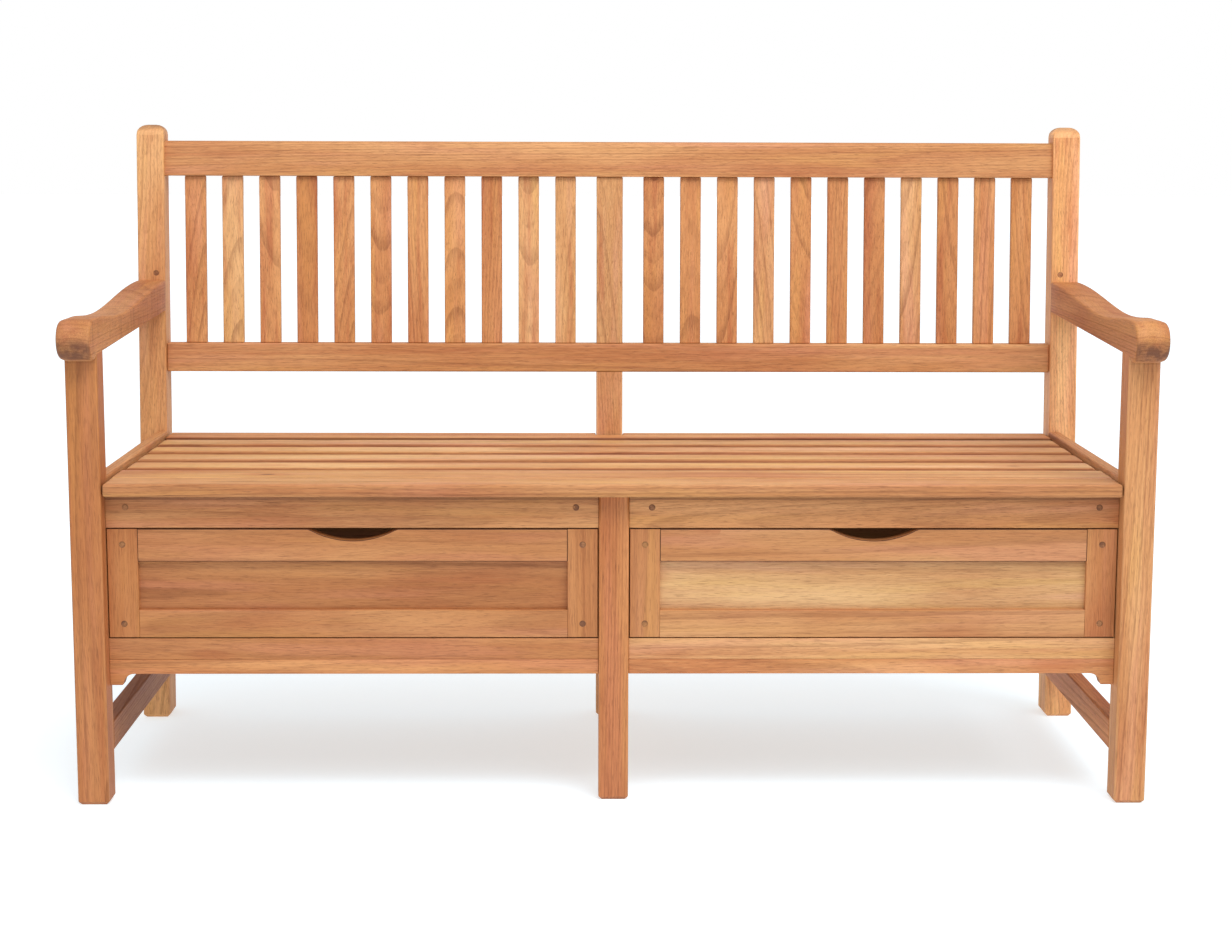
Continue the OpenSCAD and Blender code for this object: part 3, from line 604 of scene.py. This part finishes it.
def crown_nose(bm, middle, half, s):
    """Rounds the nose over from side to side, more on its outer side, and fades toward the rear."""
    for v in bm.verts:
        out_way = (v.co.x - middle) * s / half
        side_way = max(0.0, (abs(out_way) - CROWN_FLAT) / (1 - CROWN_FLAT))
        side_way *= 1.0 if out_way > 0 else CROWN_INNER
        near = 1.0 - smooth((v.co.y - nose_y - CROWN_FROM) / CROWN_FADE)
        pull = CROWN * side_way ** CROWN_POWER * near
        if v.co.y < FRONT:
            v.co.y += (nose_y - v.co.y) * pull
        if v.co.z > nose_z or v.co.y < FRONT - MM:
            v.co.z += (nose_z - v.co.z) * pull


def nose_end(normal):
    """The nose shows its end grain where it faces forward and down."""
    return smooth((-normal.y - 0.25) / 0.35) * smooth((0.3 - normal.z) / 0.6)


for side, s in SIDES:
    x0, x1 = mirrored(s, arm.x0, arm.x1)
    crest = (nose_y, nose_z + NOSE_R)
    dip = (FRONT + LEG_SPREAD * DIP_SHARE, LEG_TOP + ARM_DIP_Z)
    end = (lean_y(arm_end_z), arm_end_z)
    under_end = (under_y, LEG_TOP + (under_y - FRONT) * ARM_RISE)
    chin = math.degrees(math.acos((FRONT - nose_y) / NOSE_R))
    outline = (sweep(crest, (crest[0] + FROM_CREST, crest[1]), (dip[0] - TO_DIP, dip[1]), dip, 20)
               + sweep(dip, (dip[0] + FROM_DIP, dip[1]), (end[0] - TO_BACK, end[1]), end, 24)
               + [under_end, (FRONT, LEG_TOP)]
               + arc(nose_y, nose_z, NOSE_R, -chin, -270, 36))[:-1]
    bm = cut_out(outline, X, x0, x1)
    middle = (x0 + x1) / 2
    half = (x1 - x0) / 2
    for step in (-0.7, -0.45, 0.0, 0.45, 0.7):
        bmesh.ops.bisect_plane(bm, geom=bm.verts[:] + bm.edges[:] + bm.faces[:],
                               plane_co=(middle + step * half, 0, 0), plane_no=(1, 0, 0))
    side_faces = {f for f in bm.faces if abs(f.normal.x) > 0.9}
    under = {f for f in bm.faces if f.normal.z < -0.9 and f.calc_center_median().y > FRONT}
    rim = [e for e in bm.edges if len(set(e.link_faces) & side_faces) == 1
           and not set(e.link_faces) & under]
    flag_faces(bm, [f for f in bm.faces if f not in side_faces and f not in under
                    and f.normal.y < 0.9])
    cut = bmesh.ops.bevel(bm, geom=rim, offset=ARM_EASE, segments=5, profile=0.5,
                          affect="EDGES", material=-1, clamp_overlap=True)
    flag_faces(bm, cut["faces"])
    crown_nose(bm, middle, half, s)
    finished(bm, "arm_" + side, "arm_" + side, Y, (0.84, 0.88)[s > 0], 1.0,
             (0.5, 0.1)[s > 0], pith=(0.09, 0.012), edge_wear=0.3, cut_end=nose_end)

# ---- Seat ----

seat = Span("seat_front_board")
BOARD_END = seat.x1
BOARD_ROUND = 3.5 * MM
SLAT_ROUND = 8 * MM
TIGHT_ROUND = 2 * MM


def painted_board_front_shade(face):
    """Painted shade: the front board is darker on its front face."""
    return 1.0 - 0.26 * smooth(-face.normal.y)


def painted_slat_edge_shade(face):
    """Painted shade: slats are darker on their front and rear edges, as in the shade of the gaps
    between them.
    """
    return 1.0 - 0.6 * smooth((abs(face.normal.y) - 0.02) / 0.5)


# The front board's front face takes painted shade
board("seat_front_board", "seat_front_board", X, -BOARD_END, BOARD_END, seat.y0, seat.y1,
      seat.z0, seat.z1, BOARD_ROUND, tone=1.14, warmth=-0.6, pith=(0.008, 0.024),
      shade=painted_board_front_shade, redden=5.0)
# Seat slats take painted shade on their edges, from the gaps between them
for i in range(1, 6):
    name = "seat_slat_%d" % i
    part = Span(name)
    tight = i == 1
    board(name, name, X, part.x0, part.x1, part.y0, part.y1, part.z0, part.z1,
          TIGHT_ROUND if tight else SLAT_ROUND, tone=1.25 if tight else shade_of(name, 1.32, 1.48),
          warmth=-1.0 if tight else -1.6, shade=None if tight else painted_slat_edge_shade, redden=6.0,
          edge_wear=0.0)
rear = Span("seat_rear_slat")
NOTCH = 21.5 * MM
NOTCH_PLAY = 0.5 * MM
notch_y = lean_y(rear.z0) + RAIL_SET - NOTCH_PLAY
bm = cut_out([(rear.x0, rear.y0), (rear.x1, rear.y0), (rear.x1, rear.y1), (NOTCH, rear.y1),
              (NOTCH, notch_y), (-NOTCH, notch_y), (-NOTCH, rear.y1), (rear.x0, rear.y1)],
             Z, rear.z0, rear.z1)
ease_edges(bm, SOFT_EASE)
finished(bm, "seat_rear_slat", "seat_rear_slat", X, 1.12, 0.3, shade=painted_slat_edge_shade, redden=3.0)

bearers = Span("seat_bearers")
BEARER_W = 20 * MM
for name, x0, x1, y0 in (("left", -LEG_IN, BEARER_W - LEG_IN, LEG_BACK),
                         ("centre", -BEARER_W / 2, BEARER_W / 2, mid_leg.y1),
                         ("right", LEG_IN - BEARER_W, LEG_IN, LEG_BACK)):
    board("seat_bearer_" + name, "seat_bearers", Y, x0, x1, y0, RAIL_SET, bearers.z0,
          bearers.z1, lean="rear", tone=0.86)

# ---- Case ----

TOP_RAIL_TONE = {"left": 0.94, "right": 0.98}
LOW_RAIL_TONE = {"left": (0.8, 1.2), "right": (1.12, -0.4)}
APRON_TONE = {"left": (0.9, 1.2), "right": (1.07, 0.3)}
STRETCHER_TONE = {"left": 0.55, "right": 0.85}
front_rail = Span("front_top_rail_right")
apron = Span("front_apron_right")
panel_in = Span("side_panel_right")
side_board = Span("seat_side_board_right")
side_low = Span("side_bottom_rail_right")
SIDE_T = side_board.x1 - side_board.x0
CENTRE_IN = mid_leg.x1
SLAT_UNDER = seat.z0
OPEN_TOP = side_board.z0
OPEN_Z = side_low.z1
RAIL_Z = side_low.z0
RAIL_FACE = front_rail.y0
EAR_W = 18 * MM
EAR_DROP = 16 * MM
APRON_Z = apron.z0 + EAR_DROP
REAR_PANEL_SET = RAIL_SET + 3 * MM
PANEL_T = 12 * MM
COVE_R = 14.5 * MM
COVE_STEP = 1.5 * MM

BOARD_SHADE = ((7.5 * MM, 0.5), (11 * MM, 0.78), (17 * MM, 0.92))


def painted_board_shadow(face):
    """Painted shadow: the rails are darker right below the front board's overhang."""
    drop = SLAT_UNDER - face.center.z
    for depth, share in BOARD_SHADE:
        if drop < depth:
            return share
    return 1.0


def ear(u, s):
    """Cove and toe of an ear under the apron, from the inside to u, the way of side s."""
    cove = arc(0, 0, COVE_R, 90, 8, 7)
    points = [(u + s * (EAR_W + COVE_STEP + COVE_R - c[0]), APRON_Z - COVE_R + c[1])
              for c in cove]
    return points + [(u + s * EAR_W, APRON_Z - EAR_DROP), (u, APRON_Z - EAR_DROP)]


for side, s in SIDES:
    x0, x1 = mirrored(s, CENTRE_IN, LEG_IN)
    bm = block(x0, x1, RAIL_FACE, LEG_BACK, OPEN_TOP, SLAT_UNDER)
    for drop, _ in BOARD_SHADE:
        bmesh.ops.bisect_plane(bm, geom=bm.verts[:] + bm.edges[:] + bm.faces[:],
                               plane_co=(0, 0, SLAT_UNDER - drop), plane_no=(0, 0, 1))
    ease_edges(bm, EASE)
    # The top rail's strip right below the front board takes painted shadow
    finished(bm, "front_top_rail_" + side, "front_top_rail_" + side, X, TOP_RAIL_TONE[side], 0.6,
             pith=(0.015, 0.05), edge_wear=-0.7, shade=painted_board_shadow, redden=1.5)
    tone, warmth = LOW_RAIL_TONE[side]
    board("front_bottom_rail_" + side, "front_bottom_rail_" + side, X, x0, x1, RAIL_FACE,
          LEG_BACK, RAIL_Z, OPEN_Z, tone=tone, warmth=warmth, edge_wear=-1.0)
    outline = ([(s * LEG_IN, RAIL_Z), (s * CENTRE_IN, RAIL_Z), (s * CENTRE_IN, APRON_Z)]
               + ear(s * LEG_IN, -s))
    bm = cut_out(outline, Y, RAIL_FACE, LEG_BACK)
    ease_edges(bm, EASE)
    tone, warmth = APRON_TONE[side]
    finished(bm, "front_apron_" + side, "front_apron_" + side, X, tone, warmth, edge_wear=-0.7)

    x0, x1 = mirrored(s, LEG_IN, LEG_IN + SIDE_T)
    board("seat_side_board_" + side, "seat_side_board_" + side, Y, x0, x1, LEG_BACK, 0,
          OPEN_TOP, side_board.z1, SOFT_EASE, "rear", tone=1.05)
    board("side_bottom_rail_" + side, "side_bottom_rail_" + side, Y, x0, x1, LEG_BACK, 0,
          RAIL_Z, OPEN_Z, lean="rear")
    low = APRON_Z - EAR_DROP
    outline = ([(LEG_BACK, RAIL_Z), (lean_y(RAIL_Z), RAIL_Z)]
               + list(reversed(ear(lean_y(low), -1))) + ear(LEG_BACK, 1))
    bm = cut_out(outline, X, x0, x1)
    ease_edges(bm, EASE)
    finished(bm, "side_apron_" + side, "side_apron_" + side, Y, shade_of("apron " + side))
    x0, x1 = mirrored(s, panel_in.x0, panel_in.x1)
    board("side_panel_" + side, "side_panel_" + side, Y, x0, x1, LEG_BACK, 0, OPEN_Z,
          OPEN_TOP, lean="rear")
    stretcher = Span("side_stretcher_right")
    x0, x1 = mirrored(s, stretcher.x0, stretcher.x1)
    board("side_stretcher_" + side, "side_stretcher_" + side, Y, x0, x1, LEG_BACK, 0,
          stretcher.z0, stretcher.z1, SOFT_EASE, "rear", tone=STRETCHER_TONE[side], warmth=2.2)

    x0, x1 = mirrored(s, CENTRE_IN, BACK_IN)
    board("rear_panel_" + side, "rear_panels", X, x0, x1, REAR_PANEL_SET,
          REAR_PANEL_SET + PANEL_T, OPEN_Z, OPEN_TOP, lean="front rear")

REAR_T = 18 * MM
for name, z0, z1 in (("rear_top_rail", OPEN_TOP, SLAT_UNDER),
                     ("rear_bottom_rail", RAIL_Z, OPEN_Z)):
    board(name, name, X, -BACK_IN, BACK_IN, RAIL_SET, RAIL_SET + REAR_T, z0, z1,
          lean="front rear")
stretcher = Span("centre_stretcher")
board("centre_stretcher", "centre_stretcher", Y, stretcher.x0, stretcher.x1, mid_leg.y1,
      RAIL_SET, stretcher.z0, stretcher.z1, SOFT_EASE, "rear")
board("drawer_divider", "drawer_divider", Y, -CENTRE_IN, CENTRE_IN, mid_leg.y1, RAIL_SET,
      RAIL_Z, OPEN_Z, lean="rear", tone=0.85)

runners = Span("drawer_runners")
RUNNER_W = 22 * MM
RUNNER_H = 20 * MM
STOP = runners.z1 - OPEN_Z
stop_y = lean_y(OPEN_Z) + RAIL_SET - STOP
for side, s in SIDES:
    for name, a in (("inner", CENTRE_IN), ("outer", LEG_IN - RUNNER_W)):
        x0, x1 = mirrored(s, a, a + RUNNER_W)
        name = "%s_%s" % (side, name)
        board("runner_" + name, "drawer_runners", Y, x0, x1, LEG_BACK, RAIL_SET,
              OPEN_Z - RUNNER_H, OPEN_Z, lean="rear", tone=0.85)
        bm = block(x0, x1, stop_y, RAIL_SET, OPEN_Z, OPEN_Z + STOP, "rear")
        ease_edges(bm, EASE)
        finished(bm, "stop_" + name, "drawer_runners", Y, 0.85)

# ---- Pegs ----

PEG_DEPTH = 6 * MM
PEG_PROUD = 0.35 * MM
PEG_LINE = 1.3 * MM
SHADED_WAY = Vector((0.5, 0.86))
RAIL_PEG_DROP = 18 * MM
RAIL_PEG_INNER, RAIL_PEG_OUTER = 32 * MM, 28 * MM
ARM_PEG_UP, ARM_PEG_IN = 12 * MM, 15 * MM


def peg(name, node, x, y, z, tone=0.95, crescent_shade=0.68):
    """A peg driven almost flush, with the fine dark line round it, which painted shade darkens into a
    crescent on one side.
    """
    bm = bmesh.new()
    rim = bmesh.ops.create_circle(bm, cap_ends=True, segments=20, radius=PEG_R)
    bmesh.ops.rotate(bm, verts=rim["verts"], matrix=Matrix.Rotation(math.pi / 2, 3, "X"))
    bm.faces.ensure_lookup_table()
    face = bm.faces[0]
    if face.normal.y > 0:
        bmesh.ops.reverse_faces(bm, faces=[face])
    grown = bmesh.ops.extrude_face_region(bm, geom=[face])
    bmesh.ops.translate(bm, vec=(0, -PEG_DEPTH - PEG_PROUD, 0),
                        verts=[g for g in grown["geom"] if isinstance(g, bmesh.types.BMVert)])
    bmesh.ops.translate(bm, vec=(x, y + PEG_DEPTH, z), verts=bm.verts)
    bmesh.ops.recalc_face_normals(bm, faces=bm.faces)
    ease_edges(bm, 0.3 * MM, 2, turn=60)
    end_face = min(bm.faces, key=lambda f: f.calc_center_median().y)
    bmesh.ops.inset_region(bm, faces=[end_face], thickness=PEG_LINE)

    def crescent(face):
        at = face.center
        out = Vector((at.x - x, at.z - z))
        if out.length < PEG_R * 0.5:
            return 1.0
        return crescent_shade + (0.95 - crescent_shade) * smooth(0.5 - out.normalized().dot(SHADED_WAY))

    finished(bm, name, node, Y, tone, 0.2, edge_wear=0.0, shade=crescent)


for side, s in SIDES:
    for i, x in enumerate((CENTRE_IN + RAIL_PEG_INNER, LEG_IN - RAIL_PEG_OUTER)):
        peg("rail_peg_%s_%d" % (side, i + 1), "frame_pegs", s * x, RAIL_FACE,
            SLAT_UNDER - RAIL_PEG_DROP)
    z = arm_end_z + ARM_PEG_UP
    peg("arm_peg_" + side, "frame_pegs", s * (LEG_IN + ARM_PEG_IN), lean_y(z), z, 1.15, 0.85)

# ---- Drawers ----

stiles = Span("drawer_right_stiles")
panel = Span("drawer_right_panel")
box_sides = Span("drawer_right_sides")
box_back = Span("drawer_right_back")
box_bottom = Span("drawer_right_bottom")
STILE_W = 42 * MM
SCOOP_W = 122 * MM
SCOOP_D = 16.5 * MM
scoop_r = (SCOOP_W ** 2 / 4 + SCOOP_D ** 2) / (2 * SCOOP_D)
SCOOP_TURN = math.degrees(math.asin(SCOOP_W / 2 / scoop_r))
SCOOP_LIP = 3 * MM
BOX_T = 12 * MM
PANEL_IN_GROOVE = 6 * MM
TOP_PEG_UP, LOW_PEG_DOWN = 24 * MM, 19.5 * MM
field_x0 = stiles.x0 + STILE_W
field_x1 = stiles.x1 - STILE_W
field_z0 = panel.z0 + PANEL_IN_GROOVE
field_z1 = panel.z1 - PANEL_IN_GROOVE
DRAWER_TONE = {"left": (0.79, 1.1), "right": (0.9, 0.4)}
PANEL_TONE = {"left": (0.69, 1.5), "right": (1.13, -1.2)}
FIELD_EASE = 1.0 * MM
PANEL_LINE = 1.8 * MM
for side, s in SIDES:
    body = "drawer_%s_" % side
    tone, warmth = DRAWER_TONE[side]
    # Drawer fronts darken at their eased edges: dark joints, and painted shade in the recess round the
    # panel
    look = {"tone": tone, "warmth": warmth, "edge_wear": -1.0}
    for name, a in (("inner", stiles.x0), ("outer", field_x1)):
        x0, x1 = mirrored(s, a, a + STILE_W)
        board(body + "stile_" + name, body + "stiles", Z, x0, x1, stiles.y0, stiles.y1,
              stiles.z0, stiles.z1, FIELD_EASE, edge_wear=-1.0, warmth=warmth + 0.6,
              tone=tone * (0.92 if name == "inner" else 0.98))
    x0, x1 = mirrored(s, field_x0, field_x1)
    mid = (x0 + x1) / 2
    top = stiles.z1
    scoop = arc(mid, top - SCOOP_D + scoop_r, scoop_r, -90 - SCOOP_TURN, -90 + SCOOP_TURN, 28)
    # The scoop's two ends run out into the top edge over a short lip
    scoop = ([(scoop[0][0] - SCOOP_LIP, top), (scoop[0][0] - SCOOP_LIP * 0.3, top - 0.3 * MM)]
             + scoop[1:-1] + [(scoop[-1][0] + SCOOP_LIP * 0.3, top - 0.3 * MM),
                              (scoop[-1][0] + SCOOP_LIP, top)])
    bm = cut_out([(x0, top)] + scoop + [(x1, top), (x1, field_z1), (x0, field_z1)], Y,
                 stiles.y0, stiles.y1)
    # The scoop's cut faces are flagged so that they take the dark edge tint: painted shade inside the
    # scoop
    flag_faces(bm, [f for f in bm.faces if abs(f.normal.y) < 0.5
                    and abs(f.calc_center_median().x - mid) < SCOOP_W * 0.48
                    and f.calc_center_median().z > field_z1 + 10 * MM])
    ease_edges(bm, FIELD_EASE, turn=40)
    finished(bm, body + "top_rail", body + "top_rail", X, **look)
    board(body + "bottom_rail", body + "bottom_rail", X, x0, x1, stiles.y0, stiles.y1,
          stiles.z0, field_z0, FIELD_EASE, **look)
    # The panel's face gets a flagged border that takes the dark edge tint: painted shade where the
    # panel sinks into its frame
    bm = block(x0, x1, panel.y0, panel.y1, field_z0, field_z1)
    front_face = min(bm.faces, key=lambda f: f.calc_center_median().y)
    flag_faces(bm, bmesh.ops.inset_region(bm, faces=[front_face],
                                          thickness=PANEL_LINE)["faces"])
    tone, warmth = PANEL_TONE[side]
    finished(bm, body + "panel", body + "panel", X, tone, warmth, pith=(0.012, 0.04), edge_wear=-1.0)
    # The drawer box is toned dark: painted shade, so that its inside looks dark through the scoop
    for name, a in (("inner", box_sides.x0), ("outer", box_sides.x1 - BOX_T)):
        x0, x1 = mirrored(s, a, a + BOX_T)
        board(body + "side_" + name, body + "sides", Y, x0, x1, box_sides.y0, box_sides.y1,
              box_sides.z0, box_sides.z1, tone=0.6)
    x0, x1 = mirrored(s, box_back.x0, box_back.x1)
    board(body + "back", body + "back", X, x0, x1, box_back.y0, box_back.y1, box_back.z0,
          box_back.z1, tone=0.5)
    x0, x1 = mirrored(s, box_sides.x0 + BOX_T, box_sides.x1 - BOX_T)
    board(body + "bottom", body + "bottom", X, x0, x1, stiles.y1, box_bottom.y1,
          box_bottom.z0, box_bottom.z1, 0.5 * MM, tone=0.5)
    for i, x in enumerate((stiles.x0 + STILE_W / 2, stiles.x1 - STILE_W / 2)):
        for j, z in enumerate((field_z1 + TOP_PEG_UP, field_z0 - LOW_PEG_DOWN)):
            peg("%speg_%d%d" % (body, i + 1, j + 1), body + "pegs", s * x, stiles.y0, z)

# ---- Floor, light and camera ----

floor_mesh = bpy.data.meshes.new("floor")
bm = bmesh.new()
bmesh.ops.create_grid(bm, x_segments=8, y_segments=8, size=30)
bm.to_mesh(floor_mesh)
bm.free()
floor = bpy.data.objects.new("floor", floor_mesh)
bpy.context.scene.collection.objects.link(floor)
pale = bpy.data.materials.new("pale studio floor")
pale.use_nodes = True
skin = pale.node_tree.nodes["Principled BSDF"]
skin.inputs["Base Color"].default_value = (0.6, 0.73, 0.81, 1)
skin.inputs["Emission Color"].default_value = (1, 1, 1, 1)
skin.inputs["Emission Strength"].default_value = 0.55
skin.inputs["Roughness"].default_value = 0.9
skin.inputs["Specular IOR Level"].default_value = 0.1
floor_mesh.materials.append(pale)

world = bpy.data.worlds.new("studio")
bpy.context.scene.world = world
world.use_nodes = True
tree = world.node_tree
tree.nodes.clear()
lit = tree.nodes.new("ShaderNodeBackground")
lit.inputs[1].default_value = 0.66
seen = tree.nodes.new("ShaderNodeBackground")
seen.inputs[1].default_value = 1.0
for background in (lit, seen):
    background.inputs[0].default_value = (1, 1, 1, 1)
path = tree.nodes.new("ShaderNodeLightPath")
either = tree.nodes.new("ShaderNodeMixShader")
sky = tree.nodes.new("ShaderNodeOutputWorld")
tree.links.new(path.outputs["Is Camera Ray"], either.inputs[0])
tree.links.new(lit.outputs[0], either.inputs[1])
tree.links.new(seen.outputs[0], either.inputs[2])
tree.links.new(either.outputs[0], sky.inputs[0])

SUN_WAY = Vector((-0.42, 0.62, -1.0))
OVERHEAD_AT = Vector((0.3, -1.25, 2.35))
OVERHEAD_AIM = Vector((0, 0.2, 0.6))
CAMERA_AT = (-0.0489, -3.3778, 0.9366)

sun = bpy.data.lights.new("wide softbox", "SUN")
sun.energy = 1.0
sun.angle = math.radians(38)
lamp = bpy.data.objects.new("wide softbox", sun)
bpy.context.scene.collection.objects.link(lamp)
lamp.rotation_euler = SUN_WAY.to_track_quat("-Z", "Y").to_euler()
box_light = bpy.data.lights.new("overhead softbox", "AREA")
box_light.shape = "RECTANGLE"
box_light.size = 2.4
box_light.size_y = 0.9
box_light.energy = 27
lamp = bpy.data.objects.new("overhead softbox", box_light)
bpy.context.scene.collection.objects.link(lamp)
lamp.location = OVERHEAD_AT
lamp.rotation_euler = (OVERHEAD_AIM - OVERHEAD_AT).to_track_quat("-Z", "Y").to_euler()

camera_data = bpy.data.cameras.new("camera")
camera_data.lens = 66.53
camera_data.sensor_width = 36
camera = bpy.data.objects.new("camera", camera_data)
bpy.context.scene.collection.objects.link(camera)
PITCH, YAW, ROLL = (math.radians(a) for a in (8.308, 0.944, 0.181))
camera.matrix_world = (Matrix.Translation(CAMERA_AT)
                       @ Matrix.Rotation(-YAW, 4, "Z")
                       @ Matrix.Rotation(math.pi / 2 - PITCH, 4, "X")
                       @ Matrix.Rotation(ROLL, 4, "Z"))
bpy.context.scene.camera = camera
bpy.context.scene.view_settings.view_transform = "Standard"
